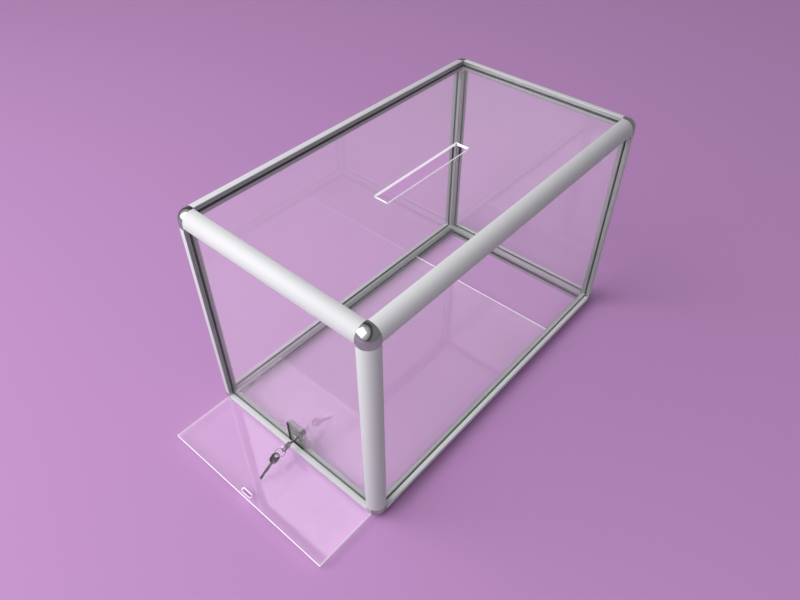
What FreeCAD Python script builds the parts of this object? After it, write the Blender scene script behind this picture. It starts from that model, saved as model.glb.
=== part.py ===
import FreeCAD, Part
import math
import os
from types import SimpleNamespace

from FreeCAD import Placement, Rotation, Vector
from Sketcher import Constraint

# A ballot box: clear panels in a frame of grooved bars, which three-way corner pieces join. The floor is a
# plate that slides out under the front bar, and a cam lock on that bar holds the plate when it is shut.
#
# Frame of the part: X across the box, Y along it with the lock at the -Y end, Z up. The origin is on the
# surface that the box stands on, in the middle of the frame. Depths are measured inwards from the frame's
# outer planes.

# Driving sizes in millimetres and degrees, with what each one measures.
SIZES = {
    # Frame of bars
    "width": (300, "frame, outside, across"),
    "length": (530, "frame, outside, along"),
    "height": (334, "frame, outside, up"),
    "bar_side": (18, "bar's section, each way"),
    "bar_round": (14, "radius of the bar's outer edge and of the corner pieces"),
    "outer_lip": (6, "outer plane to groove"),
    "groove_play": (0.1, "panel to groove, each side"),
    "groove_depth": (6.6, "depth of a panel groove"),
    "inner_notch": (1.8, "channel along the bar's inner edge"),
    "bore_diameter": (4, "bore for the corner piece's pegs"),
    "bore_inset": (13.4, "bore's centre from the outer planes"),
    # Corner pieces
    "corner_reach": (19, "corner piece's leg along a level bar, from the outer plane"),
    "corner_drop": (21, "corner piece's leg along a post, from the outer plane"),
    "peg_length": (16, "peg beyond the leg"),
    "peg_play": (0.05, "peg to bore, all round"),
    # Panels
    "panel_thick": (4, "thickness of the panels and the floor plate"),
    "panel_gap": (0.3, "panel's edge to the bottom of the groove"),
    "slot_length": (151, "ballot slot, along the box"),
    "slot_width": (17.5, "ballot slot, across"),
    "slot_ahead": (14.5, "ballot slot's centre, towards the lock end"),
    "slot_aside": (7.4, "ballot slot's centre, towards the right"),
    # Floor plate
    "floor_drawn": (100, "how far the plate is drawn out at rest"),
    "floor_bite": (1.5, "plate in the back bar's groove when shut"),
    "floor_slot_length": (18, "plate's lock slot, across the box"),
    "floor_slot_width": (4.6, "plate's lock slot, along the box"),
    "floor_slot_inset": (5.75, "plate's front edge to the middle of its lock slot"),
    # Lock case and cover
    "case_width": (26, "lock case, across"),
    "case_height": (38, "lock case, up from the bar"),
    "case_depth": (7.2, "lock case, front to cover"),
    "case_inset": (8, "front plane to the case's front"),
    "case_round": (2.5, "radius of the case's upper edges"),
    "cover_thick": (1.8, "cover on the back of the case"),
    "notch_play": (0.4, "case to the panel's notch"),
    "lock_rise": (13.5, "bar's top to the axis of the lock"),
    # Screws
    "screw_play": (0.05, "screw to its hole, all round"),
    "lock_screw_shank": (2.6, "screw from the bar into the case, diameter"),
    "lock_screw_head": (5, "its countersunk head, diameter"),
    "lock_screw_length": (15, "its length with the head"),
    "lock_screw_inset": (12.7, "its depth from the front plane"),
    "lock_screw_spread": (17, "distance between the two"),
    "cover_screw_shank": (2, "screw from the cover into the case, diameter"),
    "cover_screw_head": (3.6, "its countersunk head, diameter"),
    "cover_screw_length": (6, "its length with the head"),
    "cover_screw_spread": (18, "distance between the two"),
    "cover_screw_drop": (5, "case's top to the cover's screws"),
    "screw_slot_width": (0.6, "slot in a screw's head"),
    "screw_slot_depth": (0.7, "slot in a screw's head"),
    # Plug, cam and nut
    "plug_diameter": (12, "lock's turning plug"),
    "plug_play": (0.05, "plug to its bore, all round"),
    "flange_diameter": (14, "plug's rim on the case's front"),
    "flange_thick": (0.8, "plug's rim"),
    "tail_side": (6.2, "plug's square tail, which carries the cam"),
    "thread_diameter": (6, "thread behind the square"),
    "thread_length": (3.4, "thread behind the cam"),
    "cam_clear": (0.3, "bar's inner face to the cam"),
    "cam_thick": (2, "cam"),
    "cam_hub": (13, "cam's round hub, diameter"),
    "cam_reach": (23.1, "plug's axis to the cam's tip"),
    "cam_arm": (5, "width of the cam's arm"),
    "nut_flats": (10, "nut, across flats"),
    "nut_thick": (2.6, "nut"),
    # Keys and ring
    "key_length": (39, "key, end to end"),
    "key_thick": (1.8, "key's blank"),
    "key_out": (25, "key in front of the plug"),
    "key_play": (0.1, "key to keyway, each side"),
    "bow_length": (15.5, "key's bow, along"),
    "bow_width": (12, "key's bow, across"),
    "blade_width": (3.6, "key's blade"),
    "bit_depth": (0.9, "cuts in the blade's edge"),
    "bit_width": (1.5, "cuts in the blade's edge"),
    "bit_pitch": (2.7, "cuts in the blade's edge, one to the next"),
    "key_hole": (5, "hole in the bow, diameter"),
    "key_hole_inset": (4, "bow's end to the middle of the hole"),
    "ring_radius": (6.4, "split ring, to the middle of the wire"),
    "ring_wire": (1.4, "split ring's wire, diameter"),
    "ring_seat": (0.3, "wire to the rim of the key's hole"),
    "spare_seat": (1, "wire to the rim of the spare key's hole"),
    "ring_lean": (95, "ring, degrees outwards from hanging"),
    "spare_dip": (31.5, "spare key, degrees below level"),
    "spare_roll": (35, "spare key, degrees from standing on edge"),
    # Making
    "overrun": (1, "how far a cut runs past a face"),
}
BIT_CUTS = 4
RIGHT_ANGLE = 90
HEXAGON = 6
SAME_PLACE = 1e-6

AXES = {"x": Vector(1, 0, 0), "y": Vector(0, 1, 0), "z": Vector(0, 0, 1)}
# The two axes across each run, in the order that makes a right-handed set with it.
ACROSS = {"x": ("y", "z"), "y": ("z", "x"), "z": ("x", "y")}

doc = FreeCAD.newDocument("BallotBox")
sheet = doc.addObject("Spreadsheet::Sheet", "Sizes")
for row, (alias, (value, meaning)) in enumerate(SIZES.items(), start=1):
    sheet.set(f"A{row}", meaning)
    sheet.set(f"B{row}", str(value))
    sheet.setAlias(f"B{row}", alias)
doc.recompute()


class Size:
    """A size worked out from the sheet: its number, and the expression that binds a property to it."""

    def __init__(self, number, text):
        self.number = number
        self.text = text

    def __add__(self, other):
        other = as_size(other)
        return Size(self.number + other.number, f"({self.text} + {other.text})")

    def __sub__(self, other):
        other = as_size(other)
        return Size(self.number - other.number, f"({self.text} - {other.text})")

    def __mul__(self, factor):
        factor = as_size(factor)
        return Size(self.number * factor.number, f"({self.text} * {factor.text})")

    def __truediv__(self, divisor):
        divisor = as_size(divisor)
        return Size(self.number / divisor.number, f"({self.text} / {divisor.text})")

    def __neg__(self):
        return Size(-self.number, f"(0 - {self.text})")

    __rmul__ = __mul__


def as_size(value):
    return value if isinstance(value, Size) else Size(value, str(value))


def sine(angle):
    return Size(math.sin(math.radians(angle.number)), f"sin({angle.text})")


def cosine(angle):
    return Size(math.cos(math.radians(angle.number)), f"cos({angle.text})")


size = SimpleNamespace(**{alias: Size(value, f"Sizes.{alias}") for alias, (value, _) in SIZES.items()})

# Planes and depths that several pieces share.
half_width = size.width / 2
half_length = size.length / 2
OUTER = {
    "x": {-1: -half_width, 1: half_width},
    "y": {-1: -half_length, 1: half_length},
    "z": {-1: as_size(0), 1: size.height},
}
SPAN = {"x": size.width, "y": size.length, "z": size.height}
REACH = {"x": size.corner_reach, "y": size.corner_reach, "z": size.corner_drop}
groove_far = size.outer_lip + size.panel_thick + 2 * size.groove_play
groove_bottom = size.bar_side - size.groove_depth
panel_edge = groove_bottom + size.panel_gap
panel_face = size.outer_lip + size.groove_play
front = -half_length
lock_axis = size.bar_side + size.lock_rise
case_top = size.bar_side + size.case_height
cover_front = size.case_inset + size.case_depth
cover_back = cover_front + size.cover_thick
cam_front = size.bar_side + size.cam_clear
cam_back = cam_front + size.cam_thick
flange_back = size.case_inset - size.plug_play
plug_face = flange_back - size.flange_thick
key_tip = plug_face + size.key_length - size.key_out
plug_bore = size.plug_diameter + 2 * size.plug_play


def bind(thing, name, value):
    """Ties a property to the sheet."""
    thing.setExpression(name, as_size(value).text)


def place(thing, corner, rotation=Rotation()):
    """Puts a thing's own origin at a corner worked out from the sheet."""
    numbers = [as_size(value).number for value in corner]
    thing.Placement = Placement(Vector(*numbers), rotation)
    for axis, value in zip("xyz", corner):
        bind(thing, f"Placement.Base.{axis}", value)


def turned(x_axis, y_axis):
    """The rotation that carries X and Y to two given square axes."""
    return Rotation(x_axis, y_axis, x_axis.cross(y_axis), "ZXY")


# Rotations that carry Z to each axis, and Z to -Y for a screw from the back of the lock.
ALONG = {axis: turned(AXES[first], AXES[second]) for axis, (first, second) in ACROSS.items()}
INTO_CASE = turned(AXES["x"], AXES["z"])


def new_body(label):
    body = doc.addObject("PartDesign::Body", label)
    body.Label = label
    return body


def box(body, way, low, high):
    """Adds or subtracts the block between two corners."""
    block = body.newObject(f"PartDesign::{way}Box", "Block")
    for name, start, end in zip(("Length", "Width", "Height"), low, high):
        bind(block, name, as_size(end) - start)
    place(block, low)
    return block


def cylinder(body, way, axis, base, diameter, length):
    """Adds or subtracts a round bar that starts at a base and runs along an axis."""
    rod = body.newObject(f"PartDesign::{way}Cylinder", "Rod")
    bind(rod, "Radius", as_size(diameter) / 2)
    bind(rod, "Height", length)
    place(rod, base, ALONG[axis])
    return rod


def cone(body, way, rotation, base, wide, narrow, length):
    """Adds or subtracts a taper that starts wide at a base and runs along the turned Z axis."""
    taper = body.newObject(f"PartDesign::{way}Cone", "Taper")
    bind(taper, "Radius1", as_size(wide) / 2)
    bind(taper, "Radius2", as_size(narrow) / 2)
    bind(taper, "Height", length)
    place(taper, base, rotation)
    return taper


def rounded(body, radius, chosen):
    """Rounds the edges of the body so far that a test chooses."""
    doc.recompute()
    tip = body.Tip
    names = [f"Edge{i}" for i, edge in enumerate(tip.Shape.Edges, start=1) if chosen(edge)]
    fillet = body.newObject("PartDesign::Fillet", "Round")
    fillet.Base = (tip, names)
    bind(fillet, "Radius", radius)
    return fillet


# Bars: one extrusion, with a quarter-round outside, a panel groove in each inner side, a channel along the
# inner edge and a bore for the pegs.

def pin_point(sketch, geometry, end, point):
    """Holds one end of a sketch line at a pair of sizes; a zero puts it on the axis itself."""
    for kind, axis, value in (("DistanceX", -2, point[0]), ("DistanceY", -1, point[1])):
        value = as_size(value)
        if value.number == 0:
            sketch.addConstraint(Constraint("PointOnObject", geometry, end, axis))
        else:
            index = sketch.addConstraint(Constraint(kind, -1, 1, geometry, end, value.number))
            sketch.setExpression(f"Constraints[{index}]", value.text)


def draw_profile(sketch):
    side = size.bar_side
    lip = size.outer_lip
    inner = side - size.inner_notch
    corners = [
        (size.bar_round, 0),
        (side, 0),
        (side, lip),
        (groove_bottom, lip),
        (groove_bottom, groove_far),
        (side, groove_far),
        (side, inner),
        (inner, inner),
        (inner, side),
        (groove_far, side),
        (groove_far, groove_bottom),
        (lip, groove_bottom),
        (lip, side),
        (0, side),
        (0, size.bar_round),
    ]
    points = [Vector(as_size(u).number, as_size(v).number, 0) for u, v in corners]
    for start, end in zip(points, points[1:]):
        sketch.addGeometry(Part.LineSegment(start, end))
    last = len(points) - 2
    for line in range(last):
        sketch.addConstraint(Constraint("Coincident", line, 2, line + 1, 1))
    for line, corner in enumerate(corners[:-1]):
        pin_point(sketch, line, 1, corner)
    pin_point(sketch, last, 2, corners[-1])

    radius = size.bar_round
    centre = Vector(radius.number, radius.number, 0)
    circle = Part.Circle(centre, AXES["z"], radius.number)
    arc = sketch.addGeometry(Part.ArcOfCircle(circle, math.pi, 1.5 * math.pi))
    sketch.addConstraint(Constraint("Coincident", arc, 1, last, 2))
    sketch.addConstraint(Constraint("Coincident", arc, 2, 0, 1))
    index = sketch.addConstraint(Constraint("Radius", arc, radius.number))
    sketch.setExpression(f"Constraints[{index}]", radius.text)

    inset = size.bore_inset
    bore = sketch.addGeometry(
        Part.Circle(Vector(inset.number, inset.number, 0), AXES["z"], size.bore_diameter.number / 2))
    pin_point(sketch, bore, 3, (inset, inset))
    index = sketch.addConstraint(Constraint("Diameter", bore, size.bore_diameter.number))
    sketch.setExpression(f"Constraints[{index}]", size.bore_diameter.text)


def make_bar(label, run, sides):
    """A bar along one axis; sides says at which outer plane it lies across the other two."""
    body = new_body(label)
    sketch = body.newObject("Sketcher::SketchObject", "Profile")
    plane = next(item for item in body.Origin.OriginFeatures if item.Role == "XY_Plane")
    sketch.AttachmentSupport = [(plane, "")]
    sketch.MapMode = "FlatFace"
    draw_profile(sketch)
    pad = body.newObject("PartDesign::Pad", "Length")
    pad.Profile = sketch
    bind(pad, "Length", SPAN[run] - 2 * REACH[run])
    first, second = ACROSS[run]
    if sides[first] * sides[second] < 0:
        first, second = second, first
    corner = {axis: OUTER[axis][sides[axis]] for axis in (first, second)}
    corner[run] = OUTER[run][-1] + REACH[run]
    inwards = turned(AXES[first] * -sides[first], AXES[second] * -sides[second])
    place(body, [corner[axis] for axis in "xyz"], inwards)
    return body


def lock_screw_places():
    """The middles of the two screws that hold the lock, across the box."""
    return (-size.lock_screw_spread / 2, size.lock_screw_spread / 2)


def finish_front_bar(body):
    """Clears the bar's underside for the floor plate and drills it for the lock's screws."""
    bar_length = size.width - 2 * REACH["x"]
    box(body, "Subtractive",
        (-size.overrun, -size.overrun, -size.overrun),
        (size.bar_side + size.overrun, groove_far, bar_length + size.overrun))
    hole = size.lock_screw_shank + 2 * size.screw_play
    seat = size.lock_screw_head + 2 * size.screw_play
    for across in lock_screw_places():
        base = (size.lock_screw_inset, groove_far, bar_length / 2 + across)
        cylinder(body, "Subtractive", "y", base, hole, size.bar_side)
        cone(body, "Subtractive", ALONG["y"], base, seat, hole, (seat - hole) / 2)


SIDES = {"left": ("x", -1), "right": ("x", 1), "front": ("y", -1), "back": ("y", 1),
         "bottom": ("z", -1), "top": ("z", 1)}


def make_frame_bars():
    bars = []
    for level in ("bottom", "top"):
        for side, run in (("front", "x"), ("back", "x"), ("left", "y"), ("right", "y")):
            body = make_bar(f"{level}_{side}_bar", run, dict([SIDES[level], SIDES[side]]))
            if (level, side) == ("bottom", "front"):
                finish_front_bar(body)
            bars.append(body)
    for end in ("front", "back"):
        for side in ("left", "right"):
            bars.append(make_bar(f"{end}_{side}_post", "z", dict([SIDES[end], SIDES[side]])))
    return bars


# Corner pieces: a ball corner with three legs that carry on the bars' section, and a peg for each bar.

def make_corner(level, end, side):
    body = new_body(f"{level}_{end}_{side}_corner")
    sides = dict([SIDES[level], SIDES[end], SIDES[side]])
    inwards = {axis: AXES[axis] * -sides[axis] for axis in "xyz"}
    order = "xyz" if inwards["x"].cross(inwards["y"]).dot(inwards["z"]) > 0 else "yxz"

    def local(by_axis):
        return [by_axis[axis] for axis in order]

    def cut(low, high):
        box(body, "Subtractive", local(low), local(high))

    beyond = size.corner_reach + size.corner_drop
    inner = size.bar_side - size.inner_notch
    box(body, "Additive", (0, 0, 0), local(REACH))
    rounded(body, size.bar_round, lambda edge: any(v.Point.Length < SAME_PLACE for v in edge.Vertexes))
    for axis in "xyz":
        first, second = ACROSS[axis]
        cut({axis: -size.overrun, first: size.bar_side, second: size.bar_side},
            {axis: beyond, first: beyond, second: beyond})
    for axis in "xyz":
        first, second = ACROSS[axis]
        cut({axis: size.outer_lip, first: groove_bottom, second: groove_bottom},
            {axis: groove_far, first: beyond, second: beyond})
        cut({axis: inner, first: inner, second: inner},
            {axis: beyond, first: beyond, second: beyond})
    if (level, end) == ("bottom", "front"):
        # The floor plate passes through here, under the front leg.
        cut({"x": groove_bottom, "y": -size.overrun, "z": size.outer_lip},
            {"x": beyond, "y": beyond, "z": groove_far})
        cut({"x": size.bar_side, "y": -size.overrun, "z": -size.overrun},
            {"x": beyond, "y": size.bar_side, "z": groove_far})
    for index, axis in enumerate("xyz"):
        base = [size.bore_inset] * 3
        base[index] = inner
        cylinder(body, "Additive", axis, base, size.bore_diameter - 2 * size.peg_play,
                 REACH[order[index]] + size.peg_length - inner)
    place(body, [OUTER[axis][sides[axis]] for axis in "xyz"], turned(inwards[order[0]], inwards[order[1]]))
    return body


def make_corners():
    return [make_corner(level, end, side)
            for level in ("bottom", "top") for end in ("front", "back") for side in ("left", "right")]


# Panels: clear sheets that stand in the bars' grooves.

def make_panel(label, thin, side):
    """A sheet in the grooves next to one outer plane, whole from edge to edge."""
    body = new_body(label)
    low = {axis: OUTER[axis][-1] + panel_edge for axis in "xyz"}
    high = {axis: OUTER[axis][1] - panel_edge for axis in "xyz"}
    if side < 0:
        low[thin] = OUTER[thin][-1] + panel_face
        high[thin] = low[thin] + size.panel_thick
    else:
        high[thin] = OUTER[thin][1] - panel_face
        low[thin] = high[thin] - size.panel_thick
    box(body, "Additive", [low[axis] for axis in "xyz"], [high[axis] for axis in "xyz"])
    return body


def make_panels():
    top = make_panel("top_panel", "z", 1)
    middle = (size.slot_aside, -size.slot_ahead)
    half = (size.slot_width / 2, size.slot_length / 2)
    box(top, "Subtractive",
        (middle[0] - half[0], middle[1] - half[1], size.height - size.bar_side),
        (middle[0] + half[0], middle[1] + half[1], size.height))

    front_panel = make_panel("front_panel", "y", -1)
    notch_half = size.case_width / 2 + size.notch_play
    box(front_panel, "Subtractive",
        (-notch_half, front, groove_bottom),
        (notch_half, front + size.bar_side, case_top + size.notch_play))

    return [top, front_panel, make_panel("back_panel", "y", 1),
            make_panel("left_panel", "x", -1), make_panel("right_panel", "x", 1)]


# Floor plate: slides in the long bars' grooves and out under the front bar. Shut, its slot lies under the cam
# and its rear edge stands in the back bar's groove.

def make_floor_plate():
    body = new_body("floor_plate")
    half = half_width - panel_edge
    shut_front = front + (cam_front + cam_back) / 2 - size.floor_slot_inset
    shut_back = half_length - size.bar_side + size.floor_bite
    low_z = panel_face
    high_z = panel_face + size.panel_thick
    drawn_front = shut_front - size.floor_drawn
    box(body, "Additive", (-half, drawn_front, low_z), (half, shut_back - size.floor_drawn, high_z))
    slot_middle = drawn_front + size.floor_slot_inset
    slot_half = size.floor_slot_width / 2
    straight = (size.floor_slot_length - size.floor_slot_width) / 2
    box(body, "Subtractive",
        (-straight, slot_middle - slot_half, low_z - size.overrun),
        (straight, slot_middle + slot_half, high_z + size.overrun))
    for end in (-straight, straight):
        cylinder(body, "Subtractive", "z", (end, slot_middle, low_z - size.overrun),
                 size.floor_slot_width, size.panel_thick + 2 * size.overrun)
    return body


# Lock: a case that stands on the front bar in the panel's notch, with a cover on its back.

def on_top_sides(edge):
    """True for the two upper edges of the lock that run front to back."""
    ends = [v.Point for v in edge.Vertexes]
    along = abs(ends[0].y - ends[1].y) > SAME_PLACE
    return along and all(abs(point.z - case_top.number) < SAME_PLACE for point in ends)


def cover_screw_places():
    height = case_top - size.cover_screw_drop
    return [(-size.cover_screw_spread / 2, height), (size.cover_screw_spread / 2, height)]


def make_lock_case():
    body = new_body("lock_case")
    half = size.case_width / 2
    box(body, "Additive",
        (-half, front + size.case_inset, size.bar_side), (half, front + cover_front, case_top))
    rounded(body, size.case_round, on_top_sides)
    cylinder(body, "Subtractive", "y", (0, front, lock_axis), plug_bore, size.length)
    for across in lock_screw_places():
        cylinder(body, "Subtractive", "z",
                 (across, front + size.lock_screw_inset, size.bar_side - size.overrun),
                 size.lock_screw_shank + 2 * size.screw_play,
                 size.lock_screw_length - size.bar_side + groove_far + 2 * size.overrun)
    for across, height in cover_screw_places():
        depth = size.cover_screw_length - size.cover_thick + size.screw_play
        cylinder(body, "Subtractive", "y", (across, front + cover_front - depth, height),
                 size.cover_screw_shank + 2 * size.screw_play, depth + size.overrun)
    return body


def make_lock_cover():
    body = new_body("lock_cover")
    half = size.case_width / 2
    box(body, "Additive", (-half, front + cover_front, size.bar_side), (half, front + cover_back, case_top))
    rounded(body, size.case_round, on_top_sides)
    cylinder(body, "Subtractive", "y", (0, front, lock_axis), plug_bore, size.length)
    hole = size.cover_screw_shank + 2 * size.screw_play
    seat = size.cover_screw_head + 2 * size.screw_play
    for across, height in cover_screw_places():
        cylinder(body, "Subtractive", "y", (across, front, height), hole, size.length)
        base = (across, front + cover_back, height)
        cone(body, "Subtractive", INTO_CASE, base, seat, hole, (seat - hole) / 2)
    return body


# Screws: countersunk, with a slotted head. A screw's own origin is on its head, and it runs along its own Z.


def make_screw(label, shank, head, length):
    body = new_body(label)
    cone(body, "Additive", ALONG["z"], (0, 0, 0), head, shank, (head - shank) / 2)
    cylinder(body, "Additive", "z", (0, 0, (head - shank) / 4), shank, length - (head - shank) / 4)
    box(body, "Subtractive",
        (-head, -size.screw_slot_width / 2, -size.overrun),
        (head, size.screw_slot_width / 2, size.screw_slot_depth))
    return body


def make_group(label, bodies):
    group = doc.addObject("Part::Compound", label)
    group.Label = label
    group.Links = bodies
    return group


def make_lock_screws():
    screws = []
    for across in lock_screw_places():
        screw = make_screw("lock_screw", size.lock_screw_shank, size.lock_screw_head, size.lock_screw_length)
        place(screw, (across, front + size.lock_screw_inset, groove_far))
        screws.append(screw)
    return make_group("lock_screws", screws)


def make_cover_screws():
    screws = []
    for across, height in cover_screw_places():
        screw = make_screw(
            "cover_screw", size.cover_screw_shank, size.cover_screw_head, size.cover_screw_length)
        place(screw, (across, front + cover_back, height), INTO_CASE)
        screws.append(screw)
    return make_group("cover_screws", screws)


# Plug, cam and nut: they turn with the key. The plug's square tail carries the cam behind the bar.

def make_lock_plug():
    body = new_body("lock_plug")
    face = (0, front + plug_face, lock_axis)
    cylinder(body, "Additive", "y", face, size.flange_diameter, size.flange_thick)
    cylinder(body, "Additive", "y", face, size.plug_diameter, cam_front - plug_face)
    square = size.tail_side / 2
    box(body, "Additive",
        (-square, front + cover_front, lock_axis - square), (square, front + cam_back, lock_axis + square))
    cylinder(body, "Additive", "y", (0, front + cam_front, lock_axis), size.thread_diameter,
             size.cam_thick + size.thread_length)
    keyway = (size.key_thick / 2 + size.key_play, size.blade_width / 2 + size.key_play)
    box(body, "Subtractive",
        (-keyway[0], front, lock_axis - keyway[1]),
        (keyway[0], front + key_tip + size.key_play, lock_axis + keyway[1]))
    return body


def make_lock_cam():
    body = new_body("lock_cam")
    cylinder(body, "Additive", "y", (0, front + cam_front, lock_axis), size.cam_hub, size.cam_thick)
    arm = size.cam_arm / 2
    box(body, "Additive",
        (0, front + cam_front, lock_axis - arm), (size.cam_reach, front + cam_back, lock_axis + arm))
    square = size.tail_side / 2 + size.key_play
    box(body, "Subtractive",
        (-square, front, lock_axis - square), (square, front + size.length, lock_axis + square))
    return body


def make_cam_nut():
    body = new_body("cam_nut")
    hexagon = body.newObject("PartDesign::AdditivePrism", "Hexagon")
    hexagon.Polygon = HEXAGON
    bind(hexagon, "Circumradius", size.nut_flats / 2 / cosine(as_size(RIGHT_ANGLE) / 3))
    bind(hexagon, "Height", size.nut_thick)
    place(hexagon, (0, front + cam_back, lock_axis), ALONG["y"])
    hole = size.thread_diameter + 2 * size.screw_play
    cylinder(body, "Subtractive", "y", (0, front, lock_axis), hole, size.length)
    return body


# Keys: flat blanks with a round-ended bow. A key's own X runs from the end of its bow to its tip, and its own
# Z is square to its flat faces.

def make_key(label):
    body = new_body(label)
    low = -size.key_thick / 2
    high = size.key_thick / 2
    bow = size.bow_width / 2
    for along in (bow, size.bow_length - bow):
        cylinder(body, "Additive", "z", (along, 0, low), size.bow_width, size.key_thick)
    box(body, "Additive", (bow, -bow, low), (size.bow_length - bow, bow, high))
    blade = size.blade_width / 2
    box(body, "Additive", (size.bow_length - bow, -blade, low), (size.key_length, blade, high))
    cylinder(body, "Subtractive", "z", (size.key_hole_inset, 0, low - size.overrun), size.key_hole,
             size.key_thick + 2 * size.overrun)
    for count in range(1, BIT_CUTS + 1):
        middle = size.key_length - count * size.bit_pitch
        box(body, "Subtractive",
            (middle - size.bit_width / 2, blade - size.bit_depth, low - size.overrun),
            (middle + size.bit_width / 2, blade + size.overrun, high + size.overrun))
    return body


def make_key_in_lock():
    body = make_key("key_in_lock")
    place(body, (0, front + plug_face - size.key_out, lock_axis), turned(AXES["y"], AXES["z"]))
    return body


# Split ring: passes through the hole of the key's bow and stands out nearly level. The spare key leans from its
# far side down to the floor plate.

hang_y = front + plug_face - size.key_out + size.key_hole_inset
hang_z = lock_axis - (size.key_hole / 2 - size.ring_wire / 2 - size.ring_seat)


def make_key_ring():
    ring = doc.addObject("Part::Torus", "key_ring")
    ring.Label = "key_ring"
    bind(ring, "Radius1", size.ring_radius)
    bind(ring, "Radius2", size.ring_wire / 2)
    centre_y = hang_y - size.ring_radius * sine(size.ring_lean)
    centre_z = hang_z - size.ring_radius * cosine(size.ring_lean)
    place(ring, (0, centre_y, centre_z), Rotation(AXES["x"], RIGHT_ANGLE - size.ring_lean.number))
    bind(ring, "Placement.Rotation.Angle", as_size(RIGHT_ANGLE) - size.ring_lean)
    return ring


def make_spare_key():
    body = make_key("spare_key")
    far_y = hang_y - 2 * size.ring_radius * sine(size.ring_lean)
    far_z = hang_z - 2 * size.ring_radius * cosine(size.ring_lean)
    to_wire = size.key_hole_inset - size.key_hole / 2 + size.spare_seat + size.ring_wire / 2
    level = turned(-AXES["y"], -AXES["z"])
    dipped = Rotation(AXES["x"], size.spare_dip.number) * level
    rolled = dipped * Rotation(AXES["x"], size.spare_roll.number)
    place(body,
          (0, far_y + to_wire * cosine(size.spare_dip), far_z + to_wire * sine(size.spare_dip)), rolled)
    return body


parts = [
    *make_frame_bars(),
    *make_corners(),
    *make_panels(),
    make_floor_plate(),
    make_lock_case(),
    make_lock_cover(),
    make_lock_screws(),
    make_cover_screws(),
    make_lock_plug(),
    make_lock_cam(),
    make_cam_nut(),
    make_key_in_lock(),
    make_key_ring(),
    make_spare_key(),
]
doc.recompute()

for thing in doc.Objects:
    if {"Invalid", "Error"} & set(thing.State):
        raise RuntimeError(f"{thing.Label} did not build: {thing.State}")
for part in parts:
    if part.Shape.isNull() or not part.Shape.isValid():
        raise RuntimeError(f"{part.Label} has no sound shape")

os.makedirs("parts", exist_ok=True)
for part in parts:
    part.Shape.exportStep(f"parts/{part.Label}.step")
    print(part.Label, len(part.Shape.Solids), round(part.Shape.Volume))
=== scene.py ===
import math

import bmesh
import bpy
from mathutils import Matrix, Vector


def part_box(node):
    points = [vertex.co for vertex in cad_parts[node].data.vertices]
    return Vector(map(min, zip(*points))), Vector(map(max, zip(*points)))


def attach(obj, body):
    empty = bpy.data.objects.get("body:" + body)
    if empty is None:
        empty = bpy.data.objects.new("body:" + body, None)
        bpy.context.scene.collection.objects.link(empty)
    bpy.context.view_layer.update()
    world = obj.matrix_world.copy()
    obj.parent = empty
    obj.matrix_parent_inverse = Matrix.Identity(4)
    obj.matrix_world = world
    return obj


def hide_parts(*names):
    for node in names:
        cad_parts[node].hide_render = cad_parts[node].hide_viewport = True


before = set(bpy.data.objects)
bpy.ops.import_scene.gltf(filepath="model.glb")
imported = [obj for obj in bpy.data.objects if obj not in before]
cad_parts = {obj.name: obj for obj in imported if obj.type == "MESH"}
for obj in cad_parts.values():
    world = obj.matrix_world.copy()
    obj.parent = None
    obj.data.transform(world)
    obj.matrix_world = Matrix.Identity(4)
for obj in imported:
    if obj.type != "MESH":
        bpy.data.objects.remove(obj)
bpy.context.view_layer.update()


# Frame bars: twelve lengths of one drawn aluminium section, sawn square, brushed and satin anodised.
# Each has a round outside and two grooves inside for the sheets, and is driven onto the corner pieces' pegs.
# The saw and the brush leave every arris a little blunt; a nearly black line of painted shade lies in each
# groove and beside each sheet, and the inner sides carry a darker grey painted shade.

MM = 0.001
BARS_ALONG = {
    "x": ["bottom_front_bar", "bottom_back_bar", "top_front_bar", "top_back_bar"],
    "y": ["bottom_left_bar", "bottom_right_bar", "top_left_bar", "top_right_bar"],
    "z": ["front_left_post", "front_right_post", "back_left_post", "back_right_post"],
}
BAR_ARRIS = 0.35 * MM
SHARP = math.radians(30)
FLAT = math.radians(0.4)
SAME_POINT = 0.001 * MM


def blunted(node, name, arris, body, materials, segments=2):
    """A copy of a solid with its sharp edges broken."""
    mesh = bmesh.new()
    mesh.from_mesh(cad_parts[node].data)
    bmesh.ops.remove_doubles(mesh, verts=mesh.verts, dist=SAME_POINT)
    bmesh.ops.dissolve_limit(mesh, angle_limit=FLAT, verts=mesh.verts, edges=mesh.edges)
    sharp = [edge for edge in mesh.edges if edge.is_manifold and edge.calc_face_angle() > SHARP]
    bmesh.ops.bevel(mesh, geom=sharp, offset=arris, offset_type="OFFSET", affect="EDGES",
                    segments=segments, profile=0.5, material=-1, clamp_overlap=True)
    return finished(mesh, name, body, materials, replaced=node)


def finished(mesh, name, body, materials, replaced):
    """Turns a bmesh into a piece with its finish, which rides on its body in place of a solid."""
    for face in mesh.faces:
        face.smooth = True
    data = bpy.data.meshes.new(name)
    mesh.to_mesh(data)
    mesh.free()
    data.set_sharp_from_angle(angle=SHARP)
    for material in materials:
        data.materials.append(material)
    piece = bpy.data.objects.new(name, data)
    bpy.context.scene.collection.objects.link(piece)
    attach(piece, body)
    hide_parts(replaced)
    return piece


def new_group(name, inputs, outputs):
    """An empty shader node group with named sockets."""
    group = bpy.data.node_groups.new(name, "ShaderNodeTree")
    for label, kind in inputs.items():
        group.interface.new_socket(label, in_out="INPUT", socket_type=kind)
    for label, kind in outputs.items():
        group.interface.new_socket(label, in_out="OUTPUT", socket_type=kind)
    start = group.nodes.new("NodeGroupInput")
    end = group.nodes.new("NodeGroupOutput")
    return group, group.nodes, group.links, start, end


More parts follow.
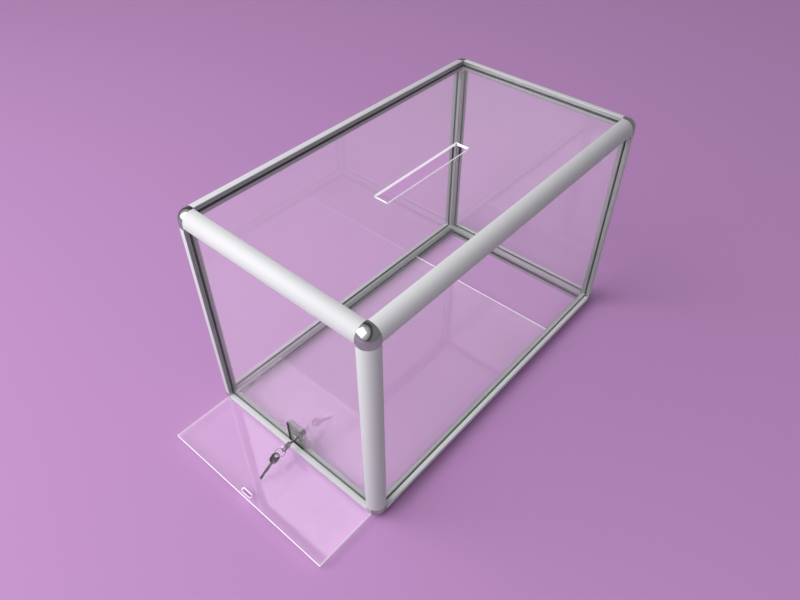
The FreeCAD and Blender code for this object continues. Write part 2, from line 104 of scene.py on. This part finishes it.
drawn_lines, inside, wires, start, end = new_group(
    "drawn_lines",
    {"Place": "NodeSocketVector", "Stretch": "NodeSocketVector"},
    {"Lines": "NodeSocketFloat"})
stretched = inside.new("ShaderNodeVectorMath")
stretched.operation = "MULTIPLY"
wires.new(start.outputs["Place"], stretched.inputs[0])
wires.new(start.outputs["Stretch"], stretched.inputs[1])
streaks = inside.new("ShaderNodeTexNoise")
streaks.inputs["Scale"].default_value = 1
streaks.inputs["Detail"].default_value = 4
streaks.inputs["Roughness"].default_value = 0.62
wires.new(stretched.outputs["Vector"], streaks.inputs["Vector"])
wires.new(streaks.outputs["Fac"], end.inputs["Lines"])

touch_marks, inside, wires, start, end = new_group(
    "touch_marks",
    {"Place": "NodeSocketVector", "Per Metre": "NodeSocketFloat"},
    {"Marks": "NodeSocketFloat"})
clouds = inside.new("ShaderNodeTexNoise")
clouds.inputs["Detail"].default_value = 5
clouds.inputs["Roughness"].default_value = 0.58
clouds.inputs["Distortion"].default_value = 0.6
wires.new(start.outputs["Place"], clouds.inputs["Vector"])
wires.new(start.outputs["Per Metre"], clouds.inputs["Scale"])
lifted = inside.new("ShaderNodeMapRange")
lifted.interpolation_type = "SMOOTHSTEP"
lifted.inputs["From Min"].default_value = 0.42
lifted.inputs["From Max"].default_value = 0.72
wires.new(clouds.outputs["Fac"], lifted.inputs["Value"])
wires.new(lifted.outputs["Result"], end.inputs["Marks"])


def new_material(name):
    """A material with its shader and the coordinates of the piece it lies on."""
    material = bpy.data.materials.new(name)
    material.use_nodes = True
    nodes = material.node_tree.nodes
    return (material, nodes, material.node_tree.links, nodes["Principled BSDF"],
            nodes.new("ShaderNodeTexCoord").outputs["Object"])


def grouped(nodes, links, group, place, values):
    """A group placed in a material, reading the piece's coordinates."""
    box = nodes.new("ShaderNodeGroup")
    box.node_tree = group
    links.new(place, box.inputs["Place"])
    for label, value in values.items():
        box.inputs[label].default_value = value
    return box


def lines_on(nodes, links, place, stretch):
    """Fine tool lines over a piece, as many to the metre along each axis as stretch says."""
    return grouped(nodes, links, drawn_lines, place, {"Stretch": stretch}).outputs["Lines"]


def marks_on(nodes, links, place, per_metre):
    """A patchy film of touch marks over a piece."""
    return grouped(nodes, links, touch_marks, place, {"Per Metre": per_metre}).outputs["Marks"]


def ranged(nodes, links, value, low, high):
    """A value between 0 and 1, spread from low to high."""
    spread = nodes.new("ShaderNodeMapRange")
    spread.inputs["To Min"].default_value = low
    spread.inputs["To Max"].default_value = high
    links.new(value, spread.inputs["Value"])
    return spread.outputs["Result"]


def tinted(nodes, links, value, at_zero, at_one):
    """A colour that goes from one to another as a value goes from 0 to 1."""
    ramp = nodes.new("ShaderNodeValToRGB")
    ramp.color_ramp.elements[0].color = (*at_zero, 1)
    ramp.color_ramp.elements[1].color = (*at_one, 1)
    links.new(value, ramp.inputs["Fac"])
    return ramp.outputs["Color"]


def bumped(nodes, links, value, depth, strength):
    """A normal from a height between 0 and 1, depth in metres."""
    bump = nodes.new("ShaderNodeBump")
    bump.inputs["Strength"].default_value = strength
    bump.inputs["Distance"].default_value = depth
    links.new(value, bump.inputs["Height"])
    return bump.outputs["Normal"]


def wired(links, shader, sockets):
    """Links the named sockets of a shader."""
    for label, output in sockets.items():
        links.new(output, shader.inputs[label])


LINES_PER_METRE = 900
LINES_LENGTHWISE = 6
SHARE_OF_MARKS = 0.25


def along(run):
    """The stretch of the lines on a bar: close together across it, long drawn along it."""
    return [LINES_LENGTHWISE if axis == run else LINES_PER_METRE for axis in "xyz"]


def satin_aluminium(run):
    """Brushed lengthwise and anodised: a pale, even metal with fine lines along the bar."""
    material, nodes, links, shader, place = new_material(f"satin_aluminium_along_{run}")
    lines = lines_on(nodes, links, place, along(run))
    worn = nodes.new("ShaderNodeMath")
    worn.operation = "MULTIPLY_ADD"
    worn.inputs[1].default_value = SHARE_OF_MARKS
    links.new(marks_on(nodes, links, place, per_metre=14), worn.inputs[0])
    links.new(lines, worn.inputs[2])
    wired(links, shader, {
        "Base Color": tinted(nodes, links, lines, (0.74, 0.745, 0.76), (0.82, 0.825, 0.84)),
        "Roughness": ranged(nodes, links, worn.outputs["Value"], low=0.6, high=0.76),
        "Normal": bumped(nodes, links, lines, depth=0.02 * MM, strength=0.35),
    })
    shader.inputs["Metallic"].default_value = 0.12
    return material


def groove_painted_shade(run):
    """The inside of a groove and a band beside the sheet: painted shade, dull and nearly black."""
    material, nodes, links, shader, place = new_material(f"groove_skin_along_{run}")
    lines = lines_on(nodes, links, place, along(run))
    wired(links, shader, {
        "Base Color": tinted(nodes, links, lines, (0.006, 0.006, 0.007), (0.022, 0.022, 0.024)),
        "Roughness": ranged(nodes, links, lines, low=0.7, high=0.9),
    })
    return material


def mill_finish_and_painted_shade(run):
    """The bar's inner sides, unbrushed as they leave the die, with a darker grey that is painted shade for
    sides that face away from the light.
    """
    material, nodes, links, shader, place = new_material(f"mill_finish_along_{run}")
    lines = lines_on(nodes, links, place, along(run))
    wired(links, shader, {
        "Base Color": tinted(nodes, links, lines, (0.345, 0.365, 0.355), (0.55, 0.575, 0.565)),
        "Roughness": ranged(nodes, links, lines, low=0.34, high=0.5),
        "Normal": bumped(nodes, links, lines, depth=0.03 * MM, strength=0.4),
    })
    shader.inputs["Metallic"].default_value = 0.6
    return material


# Finish slots: pale satin; near-black painted shade for the grooves and the band beside each sheet; the inner
# sides' darker grey, which is painted shade too.
SATIN, GROOVE, MILL_AND_SHADE = 0, 1, 2
# The second value is how far below the outer planes the near-black band of painted shade beside each sheet
# reaches.
GROOVE_NEAR, SHADE_BAND_FAR, GROOVE_BOTTOM = 5.6 * MM, 11.7 * MM, 11.35 * MM
# Inner faces deeper than these get the darker grey painted shade.
INNER_SIDE, INNER_CHANNEL = 17.7 * MM, 16 * MM
FACES_UP = 0.5
AXES = {"x": Vector((1, 0, 0)), "y": Vector((0, 1, 0)), "z": Vector((0, 0, 1))}
frame_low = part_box("bottom_front_left_corner")[0]
frame_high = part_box("top_back_right_corner")[1]


def parted(piece, planes):
    """Parts a piece's faces along planes, so that the two sides of each can have their own finish."""
    mesh = bmesh.new()
    mesh.from_mesh(piece.data)
    for point, facing in planes:
        everything = mesh.verts[:] + mesh.edges[:] + mesh.faces[:]
        bmesh.ops.bisect_plane(mesh, geom=everything, dist=SAME_POINT, plane_co=point, plane_no=facing)
    mesh.to_mesh(piece.data)
    mesh.free()


def bar_finish(face, run):
    """Which finish a face of a bar has, by its two depths below the frame's outer planes."""
    near, far = sorted(min(face.center[i] - frame_low[i], frame_high[i] - face.center[i])
                       for i, axis in enumerate("xyz") if axis != run)
    # Faces in a groove or in the band beside the sheet get the near-black painted shade.
    if GROOVE_NEAR < near < SHADE_BAND_FAR and far > GROOVE_BOTTOM:
        return GROOVE
    # Faces near an outer plane that face up stay pale satin, as they are lit from above; the other inner
    # sides get the darker grey painted shade.
    if near < GROOVE_NEAR and face.normal.z > FACES_UP:
        return SATIN
    return MILL_AND_SHADE if far > INNER_SIDE or near > INNER_CHANNEL else SATIN


for run, names in BARS_ALONG.items():
    finishes = [satin_aluminium(run), groove_painted_shade(run), mill_finish_and_painted_shade(run)]
    # The bars are parted where the bands of painted shade end.
    edges_of_shade_bands = [(AXES[axis] * edge, AXES[axis])
                      for i, axis in enumerate("xyz") if axis != run
                      for edge in (frame_low[i] + SHADE_BAND_FAR, frame_high[i] - SHADE_BAND_FAR)]
    for node in names:
        bar = blunted(node, f"{node}_satin", BAR_ARRIS, "frame", finishes)
        parted(bar, edges_of_shade_bands)
        for face in bar.data.polygons:
            face.material_index = bar_finish(face, run)


# Corner pieces: eight three-way zinc castings, polished and chrome plated, with a round outside that carries
# on the bars' round and a peg for each bar. Handling leaves a faint film on the bright plate.

CORNERS = [f"{level}_{end}_{side}_corner"
           for level in ("bottom", "top") for end in ("front", "back") for side in ("left", "right")]
CORNER_ARRIS = 0.3 * MM


def chrome_plate():
    """Bright plate that mirrors the room, with a faint orange peel and a film of touch marks."""
    material, nodes, links, shader, place = new_material("chrome_plate")
    marks = marks_on(nodes, links, place, per_metre=60)
    peel = nodes.new("ShaderNodeTexNoise")
    peel.inputs["Scale"].default_value = 380
    links.new(place, peel.inputs["Vector"])
    wired(links, shader, {
        "Base Color": tinted(nodes, links, marks, (0.56, 0.56, 0.58), (0.48, 0.48, 0.50)),
        "Roughness": ranged(nodes, links, marks, low=0.05, high=0.13),
        "Normal": bumped(nodes, links, peel.outputs["Fac"], depth=0.02 * MM, strength=0.08),
    })
    shader.inputs["Metallic"].default_value = 1
    return material


chrome = chrome_plate()
for node in CORNERS:
    blunted(node, f"{node}_chromed", CORNER_ARRIS, "frame", [chrome])


# Sheets: five clear cast acrylic panels, 4 mm thick, cut to size and slid into the bars' grooves.
# The top one has the ballot slot milled through it, and the front one a notch for the lock.
# The slot's frosted walls have a painted glow that stands in for the light the sheet carries, so they shine
# white.

PANELS = ["top_panel", "front_panel", "back_panel", "left_panel", "right_panel"]
PANEL_ARRIS = 0.4 * MM
SLOT_CHAMFER = 1.8 * MM
ACRYLIC_IOR = 1.49


def either_ray(nodes, links, one, other):
    """1 for a ray of either kind, and 0 for any other ray."""
    rays = nodes.new("ShaderNodeLightPath")
    either = nodes.new("ShaderNodeMath")
    either.operation = "MAXIMUM"
    links.new(rays.outputs[one], either.inputs[0])
    links.new(rays.outputs[other], either.inputs[1])
    return either.outputs["Value"]


def mixed(nodes, links, share, first, second):
    """The first shader where the share is 0, the second where it is 1."""
    mix = nodes.new("ShaderNodeMixShader")
    links.new(share, mix.inputs["Fac"])
    links.new(first, mix.inputs[1])
    links.new(second, mix.inputs[2])
    return mix.outputs["Shader"]


def clear_acrylic():
    """Cast sheet: clear, with a faint haze and touch marks. Light from the lamp goes straight through."""
    material, nodes, links, shader, place = new_material("clear_acrylic")
    marks = marks_on(nodes, links, place, per_metre=9)
    wired(links, shader, {
        "Base Color": tinted(nodes, links, marks, (1.0, 1.0, 1.0), (0.985, 0.988, 0.99)),
        "Roughness": ranged(nodes, links, marks, low=0.0, high=0.02),
    })
    shader.inputs["IOR"].default_value = ACRYLIC_IOR
    shader.inputs["Transmission Weight"].default_value = 0.975
    straight = nodes.new("ShaderNodeBsdfTransparent")
    straight.inputs["Color"].default_value = (0.995, 0.995, 0.995, 1)
    lighting = either_ray(nodes, links, "Is Shadow Ray", "Is Diffuse Ray")
    surface = mixed(nodes, links, lighting, shader.outputs["BSDF"], straight.outputs["BSDF"])
    links.new(surface, nodes["Material Output"].inputs["Surface"])
    return material


def sawn_edge_painted_glow():
    """A milled or sawn acrylic edge: frosted white, with fine tool lines, and a painted glow for the sheet's
    light.
    """
    material, nodes, links, shader, place = new_material("sawn_edge_painted_glow")
    lines = lines_on(nodes, links, place, stretch=(1500, 1500, 60))
    wired(links, shader, {
        "Base Color": tinted(nodes, links, lines, (0.80, 0.79, 0.82), (0.95, 0.94, 0.96)),
        "Roughness": ranged(nodes, links, lines, low=0.35, high=0.6),
        # The emission is a painted glow.
        "Emission Color": tinted(nodes, links, lines, (0.30, 0.29, 0.31), (0.46, 0.45, 0.47)),
    })
    shader.inputs["Emission Strength"].default_value = 1
    shader.inputs["IOR"].default_value = ACRYLIC_IOR
    return material


def notch_edge():
    """The edge of the lock's notch: dull, and painted dark as a stand-in for the dark case seen through it.
    """
    material, nodes, links, shader, place = new_material("notch_edge")
    lines = lines_on(nodes, links, place, stretch=(1500, 60, 1500))
    wired(links, shader, {
        "Base Color": tinted(nodes, links, lines, (0.08, 0.09, 0.085), (0.17, 0.185, 0.175)),
        "Roughness": ranged(nodes, links, lines, low=0.45, high=0.65),
    })
    shader.inputs["IOR"].default_value = ACRYLIC_IOR
    return material


CLEAR, WHITE, DULL = 0, 1, 2
BROAD = 0.9
sheet_finishes = [clear_acrylic(), sawn_edge_painted_glow(), notch_edge()]


def sheet(node, body, arris, edge_finish):
    """A clear sheet; a rule gives the finish of each edge face, that is all but the two broad ones."""
    low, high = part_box(node)
    thin = min(range(3), key=lambda axis: (high - low)[axis])
    piece = blunted(node, f"{node}_sheet", arris, body, sheet_finishes, segments=1)
    for face in piece.data.polygons:
        face.use_smooth = False
        face.material_index = CLEAR if abs(face.normal[thin]) > BROAD else edge_finish(face.center)


SLOT_ACROSS, SLOT_ALONG, SLOT_DOWN = 100 * MM, 200 * MM, 20 * MM
NOTCH_ACROSS, NOTCH_UP = 20 * MM, 70 * MM


def panel_edge(point):
    """Walls with a painted glow in the ballot slot, dull dark ones in the lock's notch, clear edges
    elsewhere.
    """
    if point.z > frame_high.z - SLOT_DOWN and abs(point.x) < SLOT_ACROSS and abs(point.y) < SLOT_ALONG:
        return WHITE
    return DULL if abs(point.x) < NOTCH_ACROSS and point.z < NOTCH_UP and point.y < 0 else CLEAR


for node in PANELS:
    sheet(node, "frame", SLOT_CHAMFER if node == "top_panel" else PANEL_ARRIS, panel_edge)


# Floor plate: one more acrylic sheet, which slides in the grooves of the long bars and comes out at the lock
# end. Its edges are sawn and left frosted, with a painted glow, and the lock's cam drops into its milled,
# round-ended slot.

sheet("floor_plate", "floor", PANEL_ARRIS, lambda point: WHITE)


# Lock body: a die-cast case with a pressed cover, nickel plated and a little dull, set over the front bar
# and held from behind with two screws; two more close the cover. A flat cam sits on the plug's tail,
# under a nut, and these and the screws are zinc-plated steel.

LOCK_ARRIS = 0.25 * MM
SMALL_ARRIS = 0.12 * MM
ZINC_PIECES = {"lock_screws": "frame", "cover_screws": "frame", "lock_cam": "key", "cam_nut": "key"}


def plated(name, bare, marked, smooth, rough, per_metre, metallic=1.0):
    """A plated metal whose film of marks dulls its shine in patches."""
    material, nodes, links, shader, place = new_material(name)
    marks = marks_on(nodes, links, place, per_metre)
    lines = lines_on(nodes, links, place, stretch=(700, 700, 2500))
    wired(links, shader, {
        "Base Color": tinted(nodes, links, marks, bare, marked),
        "Roughness": ranged(nodes, links, marks, smooth, rough),
        "Normal": bumped(nodes, links, lines, depth=0.01 * MM, strength=0.2),
    })
    shader.inputs["Metallic"].default_value = metallic
    return material


lock_nickel = plated("lock_nickel", bare=(0.31, 0.33, 0.30), marked=(0.19, 0.205, 0.19),
                     smooth=0.36, rough=0.52, per_metre=160, metallic=0.5)
for node in ("lock_case", "lock_cover"):
    blunted(node, f"{node}_plated", LOCK_ARRIS, "frame", [lock_nickel])

zinc_steel = plated("zinc_steel", bare=(0.64, 0.65, 0.67), marked=(0.48, 0.49, 0.50),
                    smooth=0.24, rough=0.42, per_metre=240)
for node, body in ZINC_PIECES.items():
    blunted(node, f"{node}_zinc", SMALL_ARRIS, body, [zinc_steel])


# Lock plug and keys: a turned plug, and two stamped keys milled from flat blanks, all nickel plated.
# One key stands in the plug, and its twin hangs from the ring.

PLUG_ARRIS = 0.15 * MM
KEY_ARRIS = 0.2 * MM

key_nickel = plated("key_nickel", bare=(0.42, 0.415, 0.41), marked=(0.26, 0.255, 0.255),
                    smooth=0.2, rough=0.36, per_metre=220)
blunted("lock_plug", "lock_plug_turned", PLUG_ARRIS, "key", [key_nickel])
for node, body in {"key_in_lock": "key", "spare_key": "spare"}.items():
    blunted(node, f"{node}_milled", KEY_ARRIS, body, [key_nickel])


# Key ring: a split ring, two close turns of flattened, nickel-plated spring wire.
# It passes through the holes of both keys and stands out nearly level from the one in the lock.

RING_RADIUS = 6.4 * MM
RING_TURNS = 2
RING_STEPS = 96
RING_PITCH = 0.46 * MM
RING_TILT = math.radians(-5)
WIRE_HALF_WIDTH = 0.62 * MM
WIRE_HALF_THICK = 0.215 * MM
QUARTER_TURN = math.pi / 2

bright_nickel = plated("bright_nickel", bare=(0.60, 0.59, 0.57), marked=(0.44, 0.43, 0.42),
                       smooth=0.14, rough=0.28, per_metre=200)
coil = bmesh.new()
bmesh.ops.create_circle(coil, segments=12, radius=1)
bmesh.ops.scale(coil, vec=(WIRE_HALF_WIDTH, WIRE_HALF_THICK, 1), verts=coil.verts)
bmesh.ops.rotate(coil, cent=(0, 0, 0), matrix=Matrix.Rotation(QUARTER_TURN, 3, "X"), verts=coil.verts)
bmesh.ops.translate(coil, vec=(0, -RING_RADIUS, -RING_TURNS * RING_PITCH / 2), verts=coil.verts)
bmesh.ops.rotate(coil, cent=(0, -RING_RADIUS, 0), matrix=Matrix.Rotation(QUARTER_TURN, 3, "Z"),
                 verts=coil.verts)
bmesh.ops.spin(coil, geom=coil.verts[:] + coil.edges[:], cent=(0, 0, 0), axis=(0, 0, 1),
               dvec=(0, 0, RING_TURNS * RING_PITCH / RING_STEPS), angle=RING_TURNS * math.tau,
               steps=RING_STEPS)
bmesh.ops.holes_fill(coil, edges=[edge for edge in coil.edges if edge.is_boundary])
bmesh.ops.recalc_face_normals(coil, faces=coil.faces)
bmesh.ops.rotate(coil, cent=(0, 0, 0), matrix=Matrix.Rotation(RING_TILT, 3, "X"), verts=coil.verts)
ring_low, ring_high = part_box("key_ring")
bmesh.ops.translate(coil, vec=(ring_low + ring_high) / 2, verts=coil.verts)
finished(coil, "key_ring_coil", "ring", [bright_nickel], replaced="key_ring")


# Table, light and camera: a lilac table, with a painted lighter, stronger tint where it is seen through the
# sheets, one large soft lamp to the left of the lock end, and a room that is bright round the lamp and dim
# elsewhere.
# Past the table stands a plain pale backdrop.

TABLE = 40.0
TABLE_THROWN_LIGHT = (0.46, 0.37, 0.48)
# Seen through the sheets, the table is painted lighter and stronger in colour than where it is seen directly.
TABLE_PAINTED_LIGHTER_THROUGH_SHEETS = (0.74, 0.40, 0.78)
TABLE_SEEN = (0.58, 0.30, 0.62)
THROUGH_SHEETS = 0.5

table_mesh = bmesh.new()
bmesh.ops.create_grid(table_mesh, x_segments=1, y_segments=1, size=TABLE / 2)
table_data = bpy.data.meshes.new("table")
table_mesh.to_mesh(table_data)
table_mesh.free()
table = bpy.data.objects.new("table", table_data)
bpy.context.scene.collection.objects.link(table)
lilac, nodes, links, shader, _ = new_material("lilac_table")
shader.inputs["Roughness"].default_value = 0.7
rays = nodes.new("ShaderNodeLightPath")
seen = nodes.new("ShaderNodeMath")
seen.operation = "MULTIPLY_ADD"
seen.inputs[1].default_value = THROUGH_SHEETS
links.new(rays.outputs["Is Transmission Ray"], seen.inputs[0])
links.new(rays.outputs["Is Camera Ray"], seen.inputs[2])
tint = tinted(nodes, links, seen.outputs["Value"], TABLE_THROWN_LIGHT, TABLE_SEEN)
tint.node.color_ramp.elements.new(THROUGH_SHEETS).color = (*TABLE_PAINTED_LIGHTER_THROUGH_SHEETS, 1)
links.new(tint, shader.inputs["Base Color"])
table_data.materials.append(lilac)

LAMP_AT = Vector((-0.85, -1.8, 1.95))
LAMP_AIMS_AT = Vector((0, 0, 0.15))
lamp = bpy.data.lights.new("soft_lamp", "AREA")
lamp.shape = "SQUARE"
lamp.size = 2.6
lamp.energy = 54
holder = bpy.data.objects.new("soft_lamp", lamp)
holder.location = LAMP_AT
holder.rotation_euler = (LAMP_AIMS_AT - LAMP_AT).to_track_quat("-Z", "Y").to_euler()
bpy.context.scene.collection.objects.link(holder)

WALLS_AWAY_FROM_LAMP = (0.24, 0.23, 0.25)
WALLS_AT_LAMP = (0.85, 0.84, 0.86)
GREY_TOWARDS_LAMP = {0.16: 0.22, 0.24: 0.07, 0.38: 0.08, 0.55: 0.36, 0.82: 0.7}
GREEN_CAST, BLUE_CAST = 0.98, 1.01
room = bpy.data.worlds.new("room")
bpy.context.scene.world = room
room.use_nodes = True
nodes, links = room.node_tree.nodes, room.node_tree.links
towards_lamp = nodes.new("ShaderNodeVectorMath")
towards_lamp.operation = "DOT_PRODUCT"
towards_lamp.inputs[1].default_value = LAMP_AT.normalized()
links.new(nodes.new("ShaderNodeTexCoord").outputs["Generated"], towards_lamp.inputs[0])
walls = tinted(nodes, links, towards_lamp.outputs["Value"], WALLS_AWAY_FROM_LAMP, WALLS_AT_LAMP)
for position, grey in GREY_TOWARDS_LAMP.items():
    walls.node.color_ramp.elements.new(position).color = (grey, grey * GREEN_CAST, grey * BLUE_CAST, 1)
links.new(walls, nodes["Background"].inputs["Color"])
backdrop = nodes.new("ShaderNodeBackground")
backdrop.inputs["Color"].default_value = (0.60, 0.55, 0.62, 1)
looking = either_ray(nodes, links, "Is Camera Ray", "Is Transmission Ray")
surround = mixed(nodes, links, looking, nodes["Background"].outputs["Background"],
                 backdrop.outputs["Background"])
links.new(surround, nodes["World Output"].inputs["Surface"])

CAMERA_AT = Vector((0.4382, -0.5535, 0.776))
CAMERA_LOOKS_AT = Vector((0.0117, -0.0629, 0.150))
lens = bpy.data.cameras.new("camera")
lens.sensor_fit = "HORIZONTAL"
lens.sensor_width = 36
lens.lens = 30.23
camera = bpy.data.objects.new("camera", lens)
camera.location = CAMERA_AT
camera.rotation_euler = (CAMERA_LOOKS_AT - CAMERA_AT).to_track_quat("-Z", "Y").to_euler()
bpy.context.scene.collection.objects.link(camera)
bpy.context.scene.camera = camera
bpy.context.scene.view_settings.view_transform = "Standard"
